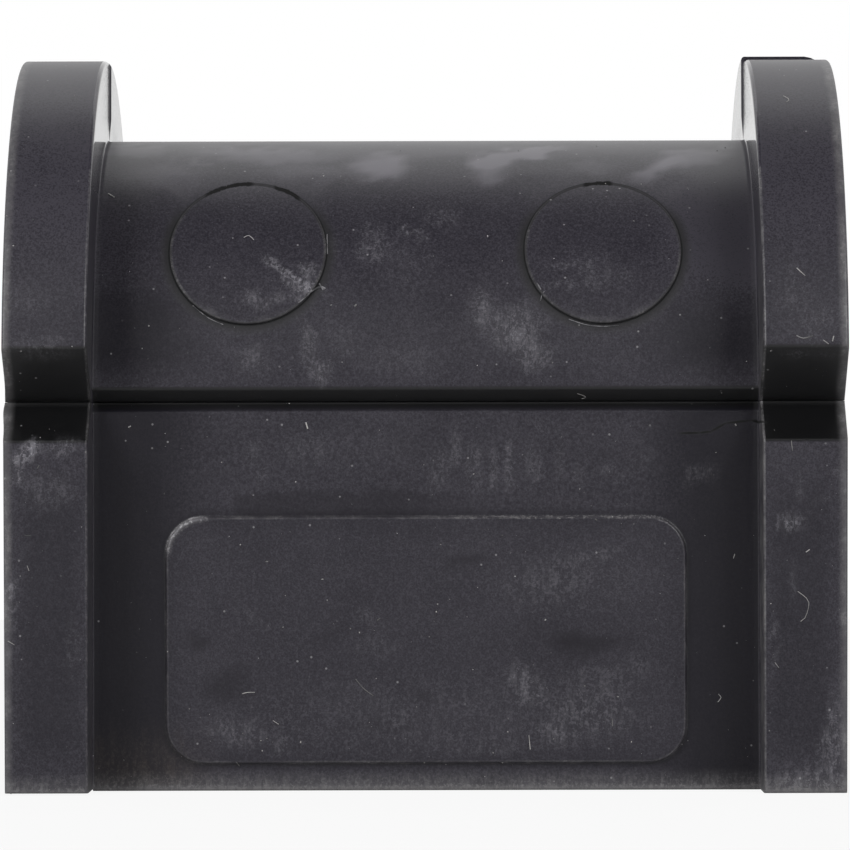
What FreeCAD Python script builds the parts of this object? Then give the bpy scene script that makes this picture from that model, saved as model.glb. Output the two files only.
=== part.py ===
import FreeCAD, Part
import math
import os

# Split anti-roll bar bushing, moulded in rubber as one piece.
# Frame: X runs along the bore, the slit and the lower pad face -Y, Z is up
# from the flat base, and the origin is the middle of the base.

# Bore for the bar, in millimetres as all sizes here
length = 65.0
bore_radius = 13.0
bore_mouth = 0.6

# Body round the bore: a domed head on a flat foot that is set back a little
wall = 9.05
base_wall = 16.85
body_setback = 0.6
foot_blend = 6.0

# Flanges, which keep the strap in its place
flange_projection = 6.55
flange_thickness = 6.45
flange_setback = 1.7

# V grooves in front, deep in the flanges and shallow in the body, which share
# one line just above the axis, and the slit that runs on from their apexes
groove_angle = 76.0
groove_rise = 0.48
flange_groove_depth = 5.5
body_groove_depth = 1.35
slit_gap = 0.1

# Round mould inserts that leave two raised discs on the dome
disc_radius = 6.14
disc_spacing = 27.9
disc_angle = 34.2
disc_tilt = 7.0
disc_proud = 0.32
disc_drop = 0.22

# Rounded pad below the slit
pad_width = 40.7
pad_height = 19.4
pad_corner = 3.0
pad_base_gap = 2.0
pad_proud = 0.4
pad_chamfer = 0.15

# Moulded edges, and the steps where the two halves of the mould meet
root_fillet = 0.3
edge_round = 0.3
bottom_chamfer = 0.3
left_parting_step = -0.12
right_parting_step = 0.28
parting_side_step = 0.12

# Sizes that follow
half_length = length / 2
inner_face = half_length - flange_thickness
axis_height = bore_radius + base_wall
dome_radius = bore_radius + wall
body_foot = dome_radius - body_setback
flange_radius = dome_radius + flange_projection
flange_foot = flange_radius - flange_setback
groove_height = axis_height + groove_rise
tolerance = 1e-3
X = FreeCAD.Vector(1, 0, 0)


def point(x, y, z):
    return FreeCAD.Vector(x, y, z)


def block(x0, y0, z0, x1, y1, z1):
    return Part.makeBox(x1 - x0, y1 - y0, z1 - z0, point(x0, y0, z0))


def rod_along_x(radius, x0, x1, z=axis_height):
    return Part.makeCylinder(radius, x1 - x0, point(x0, 0, z), X)


def extruded(corners, x0, x1):
    wire = Part.makePolygon([point(x0, y, z) for y, z in corners + corners[:1]])
    return Part.Face(wire).extrude(X * (x1 - x0))


# Above the groove line the outline is a plain round head
def head(radius, foot, x0, x1):
    above = block(x0, -radius, groove_height, x1, radius, axis_height + 2 * radius)
    return rod_along_x(radius, x0, x1).common(above)


# Below it the front is the straight foot, and the back runs from the head
# through a blend into the foot
def base(radius, foot, x0, x1):
    axis = point(x0, 0, axis_height)
    blend = point(x0, foot + foot_blend,
                  axis_height - math.sqrt((radius + foot_blend) ** 2 - (foot + foot_blend) ** 2))
    top_back = point(x0, math.sqrt(radius ** 2 - groove_rise ** 2), groove_height)
    head_back = axis + (blend - axis) * (radius / (radius + foot_blend))
    foot_back = point(x0, foot, blend.z)
    head_middle = axis + ((top_back - axis) + (head_back - axis)).normalize() * radius
    blend_middle = blend + ((head_back - blend) + (foot_back - blend)).normalize() * foot_blend
    corners = [foot_back, point(x0, foot, 0), point(x0, -foot, 0), point(x0, -foot, groove_height), top_back]
    edges = [
        Part.Arc(top_back, head_middle, head_back).toShape(),
        Part.Arc(head_back, blend_middle, foot_back).toShape(),
    ]
    edges += [Part.makeLine(start, end) for start, end in zip(corners, corners[1:])]
    return Part.Face(Part.Wire(edges)).extrude(X * (x1 - x0))


def edges_where(shape, test):
    return [edge for edge in shape.Edges if test(edge)]


def rises_at(edge, faces):
    box = edge.BoundBox
    in_face = any(abs(box.XMin - x) < tolerance and abs(box.XMax - x) < tolerance for x in faces)
    return in_face and box.ZLength > tolerance


def reach(edge):
    return max(abs(edge.BoundBox.YMin), abs(edge.BoundBox.YMax))


# The body with a flange at each end, in the outline given, with filleted roots
# and rounded rims
def saddle(outline):
    solid = outline(dome_radius, body_foot, -inner_face, inner_face)
    for x0, x1 in ((-half_length, -inner_face), (inner_face, half_length)):
        solid = solid.fuse(outline(flange_radius, flange_foot, x0, x1))
    solid = solid.removeSplitter()

    def root(edge):
        on_body = body_foot - tolerance < reach(edge) < dome_radius + tolerance
        return on_body and rises_at(edge, (-inner_face, inner_face))

    def rim(edge):
        on_flange = reach(edge) > flange_foot - tolerance
        return on_flange and rises_at(edge, (-half_length, -inner_face, inner_face, half_length))

    solid = solid.makeFillet(root_fillet, edges_where(solid, root))
    return solid.makeFillet(edge_round, edges_where(solid, rim))


# Eased edge all round the bottom
def with_bottom_chamfer(solid):
    def bottom_edge(edge):
        return edge.BoundBox.ZMax < tolerance

    return solid.makeChamfer(bottom_chamfer, edges_where(solid, bottom_edge))


# A round insert of the mould follows the dome, but sits a little forward and
# low, so its disc stands proud below and sinks in at its top edge.
def with_disc(solid, x):
    tilt = math.radians(disc_tilt)
    angle = math.radians(disc_angle)
    outward = point(0, -math.cos(tilt), math.sin(tilt))
    middle = point(x, -dome_radius * math.cos(angle), axis_height + dome_radius * math.sin(angle))
    depth = wall * 0.8
    insert = Part.makeCylinder(disc_radius, 2 * depth, middle - outward * depth, outward)
    insert_dome = rod_along_x(dome_radius, x - dome_radius, x + dome_radius)
    insert_dome.translate(point(0, -disc_proud, -disc_drop))
    return solid.cut(insert).fuse(insert.common(insert_dome))


def pad():
    top = pad_base_gap + pad_height
    plate = block(-pad_width / 2, -body_foot - pad_proud, pad_base_gap,
                  pad_width / 2, -body_foot + wall / 2, top)

    def corner(edge):
        return edge.BoundBox.YLength > tolerance

    plate = plate.makeFillet(pad_corner, edges_where(plate, corner))

    def front_rim(edge):
        return edge.BoundBox.YMax < -body_foot - pad_proud + tolerance

    return plate.makeChamfer(pad_chamfer, edges_where(plate, front_rim))


# A V groove from its apex out past the front of the flanges
def groove(apex_y, x0, x1):
    mouth_y = -flange_radius - flange_projection
    opening = (apex_y - mouth_y) * math.tan(math.radians(groove_angle / 2))
    corners = [
        (apex_y, groove_height),
        (mouth_y, groove_height + opening),
        (mouth_y, groove_height - opening),
    ]
    return extruded(corners, x0, x1)


def grooves():
    flange_apex = -flange_radius + flange_groove_depth
    body_apex = -dome_radius + body_groove_depth
    solid = groove(body_apex, -inner_face, inner_face)
    for x0, x1 in ((-length, -inner_face), (inner_face, length)):
        solid = solid.fuse(groove(flange_apex, x0, x1))
    return solid


def slit():
    half_gap = slit_gap / 2
    return block(-length, -flange_radius, groove_height - half_gap, length, 0, groove_height + half_gap)


def bore():
    solid = rod_along_x(bore_radius, -length, length)
    for side in (-1, 1):
        mouth = Part.makeCone(bore_radius, bore_radius + 2 * bore_mouth, 2 * bore_mouth,
                              point(side * (half_length - bore_mouth), 0, axis_height), X * side)
        solid = solid.fuse(mouth)
    return solid


# The two halves of the mould don't quite line up: behind the parting plane the
# flanges stand a little further inwards, and the right one also higher.
def parting_ledge(side, step):
    inner = inner_face - parting_side_step
    outer = half_length - edge_round
    x0, x1 = sorted((side * inner, side * outer))
    ledge_radius = flange_radius - edge_round
    disc = rod_along_x(ledge_radius, x0, x1, axis_height + edge_round + step)
    behind = block(x0, 0, axis_height + bore_radius, x1, flange_radius, axis_height + 2 * flange_radius)
    return disc.common(behind)


def bushing():
    solid = with_bottom_chamfer(saddle(base)).fuse(saddle(head))
    solid = solid.cut(grooves()).fuse(pad())
    for side in (-1, 1):
        solid = with_disc(solid, side * disc_spacing / 2)
    solid = solid.cut(slit())
    solid = solid.cut(bore())
    solid = solid.fuse(parting_ledge(-1, left_parting_step))
    solid = solid.fuse(parting_ledge(1, right_parting_step))
    return solid.removeSplitter()


shape = bushing()
if len(shape.Solids) == 1:
    shape = shape.Solids[0]
print("valid", shape.isValid(), "volume", round(shape.Volume, 1))

os.makedirs("parts", exist_ok=True)
shape.exportStep("parts/bushing.step")
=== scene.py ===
import math

import bmesh
import bpy
from mathutils import Matrix, Vector, noise
from mathutils.bvhtree import BVHTree


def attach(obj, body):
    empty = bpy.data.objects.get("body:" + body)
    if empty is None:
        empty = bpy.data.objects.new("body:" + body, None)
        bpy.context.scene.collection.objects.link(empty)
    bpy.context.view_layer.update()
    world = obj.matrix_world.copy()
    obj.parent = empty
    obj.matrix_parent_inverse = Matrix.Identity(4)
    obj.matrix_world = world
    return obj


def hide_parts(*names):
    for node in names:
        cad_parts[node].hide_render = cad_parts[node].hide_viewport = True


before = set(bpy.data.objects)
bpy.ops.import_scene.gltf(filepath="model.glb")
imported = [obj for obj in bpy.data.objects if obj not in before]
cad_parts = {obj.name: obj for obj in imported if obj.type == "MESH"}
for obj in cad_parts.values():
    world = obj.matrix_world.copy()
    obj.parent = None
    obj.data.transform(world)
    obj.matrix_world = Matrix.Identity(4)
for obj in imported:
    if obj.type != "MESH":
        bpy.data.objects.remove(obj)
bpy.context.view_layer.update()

scene = bpy.context.scene


# The bushing is one block of black rubber, moulded round a core that leaves the
# bore, and slit afterwards. Its skin is a row of cross-sections from end to end,
# each one somewhere between the body's outline and the flange's.
mm = 0.001
half_length = 32.5
flange_thickness = 6.45
inner_face = half_length - flange_thickness
axis_height = 29.85
bore_radius = 13.0
bore_mouth = 0.6
body_radius = 22.11
body_foot = 21.45
body_apex = 20.78
flange_radius = 28.66
flange_foot = 26.9
flange_apex = 23.06
foot_blend = 6.0
groove_height = 30.33
groove_half = 38
groove_slope = math.tan(math.radians(groove_half))
slit_gap = 0.03
slit_ridge = 0.14
root_fillet = 0.18
edge_round = 0.25
lip_round = 0.14
bottom_round = 0.3
body_lip_drop = 0.24

# The skin is a grid. Round discs and pad it has a window, which ends at these
# angles on the dome and at these places in mm.
disc_rows = (15.3, 57.0)
disc_columns = (7.05, 20.85)
pad_rows = (1.45, 21.85)

# Steps of the grid along a section, and across it from flange to flange
lip_steps = 8
corner_steps = 5
brow_steps = 8
disc_steps = 30
crown_steps = 22
back_steps = 64
hollow_steps = 8
rear_steps = 14
bottom_steps = 20
below_pad_steps = 3
pad_steps = 36
above_pad_steps = 12
column_steps = (8, 24, 24, 24, 8)


def between(a, b, share):
    return tuple(p + (q - p) * share for p, q in zip(a, b))


def run(a, b, count):
    """count points from a on towards b, without b."""
    return [between(a, b, i / count) for i in range(count)]


def on_circle(centre, radius, angle):
    """The point (y, z) on a circle; 0 degrees is its front and 90 its top."""
    angle = math.radians(angle)
    return centre[0] - radius * math.cos(angle), centre[1] + radius * math.sin(angle)


def bend(centre, radius, start, end, count):
    return [on_circle(centre, radius, start + (end - start) * i / count) for i in range(count)]


def corner(before, tip, after, size, count=corner_steps):
    """A soft corner of that size at the tip."""
    start = between(tip, before, size / math.dist(tip, before))
    end = between(tip, after, size / math.dist(tip, after))
    soft = [between(between(start, tip, i / count), between(tip, end, i / count), i / count)
            for i in range(count)]
    return start, soft, end


def outline(radius, foot, apex):
    """A section's outer line from the slit's upper edge over the head, down the back,
    along the bottom and up the front to its lower edge, as points (y, z)."""
    axis = (0.0, axis_height)
    rise = groove_height - axis_height
    cut = math.cos(math.radians(groove_half))
    lip_angle = groove_half + math.degrees(math.asin((rise - apex * groove_slope) * cut / radius))
    upper_apex = (-apex, groove_height + slit_gap / 2)
    upper_lip = on_circle(axis, radius, lip_angle)
    past_lip = on_circle(axis, radius, lip_angle + 1)
    lip_start, lip = corner(upper_apex, upper_lip, past_lip, lip_round)[:2]
    head_start = lip_angle + math.degrees(lip_round / radius)
    drop = math.sqrt((radius + foot_blend) ** 2 - (foot + foot_blend) ** 2)
    turn = math.degrees(math.asin(drop / (radius + foot_blend)))
    hollow = (foot + foot_blend, axis_height - drop)
    points = run(upper_apex, lip_start, lip_steps) + lip
    points += bend(axis, radius, head_start, disc_rows[0], brow_steps)
    points += bend(axis, radius, disc_rows[0], disc_rows[1], disc_steps)
    points += bend(axis, radius, disc_rows[1], 89.95, crown_steps)
    points += [on_circle(axis, radius, 89.95)]
    points += bend(axis, radius, 90.05, 180 + turn, back_steps)
    points += bend(hollow, foot_blend, turn, 0, hollow_steps)
    back_top = (foot, axis_height - drop)
    back_corner = corner(back_top, (foot, 0.0), (-foot, 0.0), bottom_round)
    drop_lip = body_lip_drop if radius == body_radius else 0.0
    front_lip = (-foot, groove_height - (foot - apex) * groove_slope - drop_lip)
    front_corner = corner((foot, 0.0), (-foot, 0.0), front_lip, bottom_round)
    ridge = (-apex - slit_ridge, groove_height - slit_ridge * groove_slope)
    lower_lip = corner((-foot, 0.0), front_lip, ridge, lip_round)
    points += run(back_top, back_corner[0], rear_steps) + back_corner[1]
    points += run(back_corner[2], front_corner[0], bottom_steps) + front_corner[1]
    pad_low, pad_high = ((-foot, z) for z in pad_rows)
    points += run(front_corner[2], pad_low, below_pad_steps)
    points += run(pad_low, pad_high, pad_steps)
    points += run(pad_high, lower_lip[0], above_pad_steps) + lower_lip[1]
    points += run(lower_lip[2], ridge, lip_steps)
    points += [ridge, (-apex - slit_ridge, groove_height - slit_gap / 2)]
    return points


body_line = outline(body_radius, body_foot, body_apex)
flange_line = outline(flange_radius, flange_foot, flange_apex)

# Rows of the grid where the discs' windows, the parting line and the pad's begin
disc_row = lip_steps + corner_steps + brow_steps
parting_row = disc_row + disc_steps + crown_steps
foot_row = parting_row + 1 + back_steps + hollow_steps + rear_steps + bottom_steps + 2 * corner_steps
pad_row = foot_row + below_pad_steps


def bore_line(radius):
    """The bore's circle, with a point for each one of the outline."""
    turns = []
    for y, z in body_line:
        angle = math.atan2(z - axis_height, -y)
        if turns and angle < turns[-1] - 3:
            angle += 2 * math.pi
        turns.append(angle)
    rise = groove_height - axis_height
    first = math.asin((rise + slit_gap / 2) / radius)
    last = 2 * math.pi + math.asin((rise - slit_gap / 2) / radius)
    scale = (last - first) / (turns[-1] - turns[0])
    angles = [math.degrees(first + (turn - turns[0]) * scale) for turn in turns]
    return [on_circle((0.0, axis_height), radius, angle) for angle in angles]


mouth_line = bore_line(bore_radius + bore_mouth)
inner_line = bore_line(bore_radius)
flange_rise = flange_radius - body_radius


def section(x, share):
    """A section at x: share 0 is the body's outline, 1 the flange's."""
    return [(x, *between(a, b, share)) for a, b in zip(body_line, flange_line)]


def end_ring(x, inset, share):
    """A ring in the end face, from the rim, share 0, to the bore's mouth, share 1."""
    rim = [between(b, a, inset / flange_rise) for a, b in zip(body_line, flange_line)]
    return [(x, *between(a, b, share)) for a, b in zip(rim, mouth_line)]


def quarter(count):
    return [math.radians(90) * i / count for i in range(count + 1)]


# Sections from the middle out to the right end; the left end mirrors them
right_end = []
for angle in quarter(6):
    x = inner_face - root_fillet * (1 - math.sin(angle))
    right_end.append(section(x, root_fillet * (1 - math.cos(angle)) / flange_rise))
for share in (0.14, 0.3, 0.5, 0.7, 0.86):
    right_end.append(section(inner_face, share))
for angle in quarter(6):
    right_end.append(section(inner_face + edge_round * (1 - math.cos(angle)),
                             1 - edge_round * (1 - math.sin(angle)) / flange_rise))
for i in range(1, 12):
    x = inner_face + edge_round + (flange_thickness - 2 * edge_round) * i / 12
    right_end.append(section(x, 1))
for angle in quarter(6):
    right_end.append(section(half_length - edge_round * (1 - math.sin(angle)),
                             1 - edge_round * (1 - math.cos(angle)) / flange_rise))
for share in (0.1, 0.35, 0.65, 0.9, 1.0):
    right_end.append(end_ring(half_length, edge_round, share))


def mirrored(ring):
    return [(-x, y, z) for x, y, z in ring]


columns = []
column_edges = [-inner_face + root_fillet, -disc_columns[1], -disc_columns[0],
                disc_columns[0], disc_columns[1], inner_face - root_fillet]
for start, end, count in zip(column_edges, column_edges[1:], column_steps):
    first = 1 if start == column_edges[0] else 0
    columns += [start + (end - start) * i / count for i in range(first, count)]
bore_half = half_length - bore_mouth
bore_columns = [bore_half - 2 * bore_half * i / 24 for i in range(25)]

rings = [mirrored(ring) for ring in reversed(right_end)]
first_column = len(rings)
rings += [section(x, 0) for x in columns]
rings += right_end
rings += [[(x, y, z) for y, z in inner_line] for x in bore_columns]
rows = len(body_line)
column_at = {round(x, 3): first_column + i for i, x in enumerate(columns)}

points = [point for ring in rings for point in ring]
faces = []


def grid_point(ring, row):
    """The number of a point; the rings close into a loop."""
    return (ring % len(rings)) * rows + row


def window(low_x, high_x, low_row, steps):
    """The first and last column and row of a place that the grid leaves open."""
    return column_at[low_x], column_at[high_x], low_row, low_row + steps


windows = [
    window(-disc_columns[1], -disc_columns[0], disc_row, disc_steps),
    window(disc_columns[0], disc_columns[1], disc_row, disc_steps),
    window(-disc_columns[1], disc_columns[1], pad_row, pad_steps),
]
for ring in range(len(rings)):
    for row in range(rows - 1):
        if any(a <= ring < b and c <= row < d for a, b, c, d in windows):
            continue
        faces.append((grid_point(ring, row), grid_point(ring, row + 1),
                      grid_point(ring + 1, row + 1), grid_point(ring + 1, row)))
faces.append([grid_point(ring, 0) for ring in range(len(rings))])
faces.append([grid_point(ring, rows - 1) for ring in reversed(range(len(rings)))])


# As it left the mould: the flanges lean outwards, are thickest where the mould
# parts, and the left one's bottom is pulled up a little. Behind the parting line they
# stand further inwards, the right one also higher. The knife left a burr on the
# left end of the slit.
lean = {-1: 0.0025, 1: 0.0040}
draught = {-1: 0.0025, 1: 0.002}
inner_lean = 0.002
pulled_up = {-1: 0.12, 1: 0.02}
parting_step = {-1: -0.12, 1: 0.34}
parting_shift = 0.13
knife_burr = 0.2
burr_drop = 0.6
burr_height = 1.2


def soft_step(low, high, value):
    share = min(max((value - low) / (high - low), 0.0), 1.0)
    return share * share * (3 - 2 * share)


def as_moulded(index):
    """The point's place once the mould's small faults have moved it."""
    ring, row = divmod(index, rows)
    x, y, z = points[index]
    side = -1 if x < 0 else 1
    flange = soft_step(24.5, inner_face, abs(x))
    if not flange or ring >= len(rings) - len(bore_columns):
        return x, y, z
    outer = soft_step(inner_face + 1, half_length - 1, abs(x))
    aside = outer * (lean[side] * (z - 10) + draught[side] * (flange_radius - abs(y)))
    aside -= (1 - outer) * inner_lean * (z - 15)
    if side < 0:
        below_slit = (z - groove_height + burr_drop) / burr_height
        aside += knife_burr * outer * math.exp(-below_slit ** 2) * soft_step(-20, -24, y)
    height = math.hypot(y, z - axis_height) - body_radius
    on_rim = soft_step(0, flange_rise, height) if z > axis_height else 0.0
    if row > parting_row and y > 0 and z > axis_height:
        near_top = soft_step(0, 14, z - axis_height)
        aside -= parting_shift * near_top * (1 - outer) * soft_step(0.5, 1.5, height)
        reach = soft_step(31.7, 31.0, abs(x)) if side > 0 else 1.0
        z += parting_step[side] * on_rim * near_top * reach
    if abs(x) > inner_face - 0.05:
        z += pulled_up[side] * flange * (1 - soft_step(0, 9, z))
    return x + side * aside * flange, y, z


points = [as_moulded(index) for index in range(len(points))]


def rim_of(window):
    """The vertices round a window, in one loop."""
    first, last, low, high = window
    loop = [grid_point(ring, low) for ring in range(first, last)]
    loop += [grid_point(last, row) for row in range(low, high)]
    loop += [grid_point(ring, high) for ring in range(last, first, -1)]
    loop += [grid_point(first, row) for row in range(high, low, -1)]
    return loop


def add_loop(loop_points):
    start = len(points)
    points.extend(loop_points)
    return list(range(start, len(points)))


def join_loops(outer, inner):
    """Faces between two loops; the inner one may have twice or half as many points."""
    if len(inner) == 2 * len(outer):
        for i in range(len(outer)):
            a, b = outer[i], outer[(i + 1) % len(outer)]
            c, d, e = inner[2 * i], inner[2 * i + 1], inner[(2 * i + 2) % len(inner)]
            faces.extend([(a, c, d), (a, d, b), (b, d, e)])
    elif 2 * len(inner) == len(outer):
        for i in range(len(inner)):
            a, b = inner[i], inner[(i + 1) % len(inner)]
            c, d, e = outer[2 * i], outer[2 * i + 1], outer[(2 * i + 2) % len(outer)]
            faces.extend([(a, d, c), (a, b, d), (b, e, d)])
    else:
        for i in range(len(outer)):
            j = (i + 1) % len(outer)
            faces.append((outer[i], inner[i], inner[j], outer[j]))


# Two round inserts of the mould follow the dome, but sit a little forward and
# low, so each leaves a disc that is proud below and sunk in at its top edge.
disc_radius = 6.14
disc_spacing = 27.9
disc_angle = 34.2
disc_tilt = math.radians(7)
disc_forward = 0.32
disc_drop = 0.22


def on_head(x, aside, up, forward=0.0, drop=0.0):
    """The head's surface, or one set forward and lower, where a line along the insert meets it."""
    middle_y, middle_z = on_circle((0.0, axis_height), body_radius, disc_angle)
    y = middle_y + up * math.sin(disc_tilt) + forward
    z = middle_z + up * math.cos(disc_tilt) - axis_height + drop
    dy, dz = -math.cos(disc_tilt), math.sin(disc_tilt)
    b = y * dy + z * dz
    reach = -b + math.sqrt(b * b - (y * y + z * z - body_radius ** 2))
    return x + aside, y + reach * dy - forward, z + reach * dz + axis_height - drop


for side, disc_window in ((-1, windows[0]), (1, windows[1])):
    middle_x = side * disc_spacing / 2
    rim = rim_of(disc_window)
    middle = Vector(on_head(middle_x, 0, 0))
    upwards = Vector((0, math.sin(disc_tilt), math.cos(disc_tilt)))
    angles = [math.atan2((Vector(points[index]) - middle).dot(upwards), points[index][0] - middle_x)
              for index in rim]

    def finer(angles):
        """Twice as many angles, each new one halfway to the next."""
        doubled = []
        for a, b in zip(angles, angles[1:] + angles[:1]):
            step = math.remainder(b - a, 2 * math.pi)
            doubled += [a, a + step / 2]
        return doubled

    def ring_at(radius, raised, angles, ragged=0.0):
        """A ring round the disc: raised 0 lies on the head and 1 on the insert's mark."""
        loop = []
        for angle in angles:
            chance = noise.noise(Vector((math.cos(angle) * 9, math.sin(angle) * 9, side * 5.0)))
            r = radius + ragged * max(0.0, math.sin(angle)) ** 3 * (chance + 0.35)
            aside, up = r * math.cos(angle), r * math.sin(angle)
            low = Vector(on_head(middle_x, aside, up))
            high = Vector(on_head(middle_x, aside, up, disc_forward, disc_drop))
            loop.append(tuple(low.lerp(high, raised)))
        return add_loop(loop)

    fine = finer(angles)
    finest = finer(fine)
    loops = [rim, ring_at(6.6, 0, angles), ring_at(6.42, 0, fine), ring_at(6.30, 0, finest),
             ring_at(6.22, 0, finest, 0.06), ring_at(6.17, 0, finest, 0.06), ring_at(6.15, 0.1, finest, 0.05),
             ring_at(6.14, 0.8, finest), ring_at(6.11, 0.95, finest), ring_at(6.05, 1, finest),
             ring_at(5.9, 1, finest), ring_at(5.7, 1, fine), ring_at(5.4, 1, angles)]
    loops += [ring_at(radius, 1, angles) for radius in (4.8, 4.0, 3.0, 2.0, 1.0)]
    for outer, inner in zip(loops, loops[1:]):
        join_loops(outer, inner)
    centre = add_loop([on_head(middle_x, 0, 0, disc_forward, disc_drop)])[0]
    last = loops[-1]
    for i, index in enumerate(last):
        faces.append((index, centre, last[(i + 1) % len(last)]))


# A plain rounded pad, where another insert can carry a mark, stands just proud
# of the front below the slit.
pad_half = (20.3, 9.62)
pad_middle = 11.77
pad_corner = 3.0
pad_proud = 0.4

rim = rim_of(windows[2])


def pad_ring(inset, proud):
    loop = []
    for index in rim:
        x, y, z = points[index]
        core_x = min(max(x, pad_corner - pad_half[0]), pad_half[0] - pad_corner)
        core_z = min(max(z, pad_middle - pad_half[1] + pad_corner), pad_middle + pad_half[1] - pad_corner)
        away = Vector((x - core_x, z - core_z)).normalized() * (pad_corner - inset)
        loop.append((core_x + away.x, -body_foot - proud, core_z + away.y))
    return add_loop(loop)


loops = [rim, pad_ring(-0.28, 0), pad_ring(-0.08, 0), pad_ring(-0.02, 0.03), pad_ring(0.03, 0.25),
         pad_ring(0.07, 0.34), pad_ring(0.13, 0.385)]
loops += [pad_ring(inset, pad_proud) for inset in (0.22, 0.4, 1.0, 2.0)]
for outer, inner in zip(loops, loops[1:]):
    join_loops(outer, inner)


def fill_with_grid(loop, wide, high):
    """Closes a loop of that many steps wide and high with a grid of faces."""
    low, right = loop[:wide + 1], loop[wide:wide + high + 1]
    top, left = loop[wide + high:2 * wide + high + 1][::-1], (loop[2 * wide + high:] + loop[:1])[::-1]
    ends = [Vector(points[index]) for index in (low[0], low[-1], top[0], top[-1])]
    grid = [low]
    for j in range(1, high):
        up = j / high
        line = []
        for i in range(1, wide):
            along = i / wide
            point = Vector(points[low[i]]).lerp(Vector(points[top[i]]), up)
            point += Vector(points[left[j]]).lerp(Vector(points[right[j]]), along)
            point -= ends[0].lerp(ends[1], along).lerp(ends[2].lerp(ends[3], along), up)
            line.append(tuple(point))
        grid.append([left[j]] + add_loop(line) + [right[j]])
    grid.append(top)
    for line, above in zip(grid, grid[1:]):
        for i in range(wide):
            faces.append((line[i], line[i + 1], above[i + 1], above[i]))


fill_with_grid(loops[-1], sum(column_steps[1:4]), pad_steps)

mesh = bpy.data.meshes.new("bushing_skin")
mesh.from_pydata([Vector(point) * mm for point in points], [], faces)
whole = bmesh.new()
whole.from_mesh(mesh)
bmesh.ops.remove_doubles(whole, verts=whole.verts, dist=1e-7)
bmesh.ops.recalc_face_normals(whole, faces=whole.faces)
whole.to_mesh(mesh)
whole.free()
mesh.polygons.foreach_set("use_smooth", [True] * len(mesh.polygons))
bushing = bpy.data.objects.new("bushing_skin", mesh)
scene.collection.objects.link(bushing)

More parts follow.
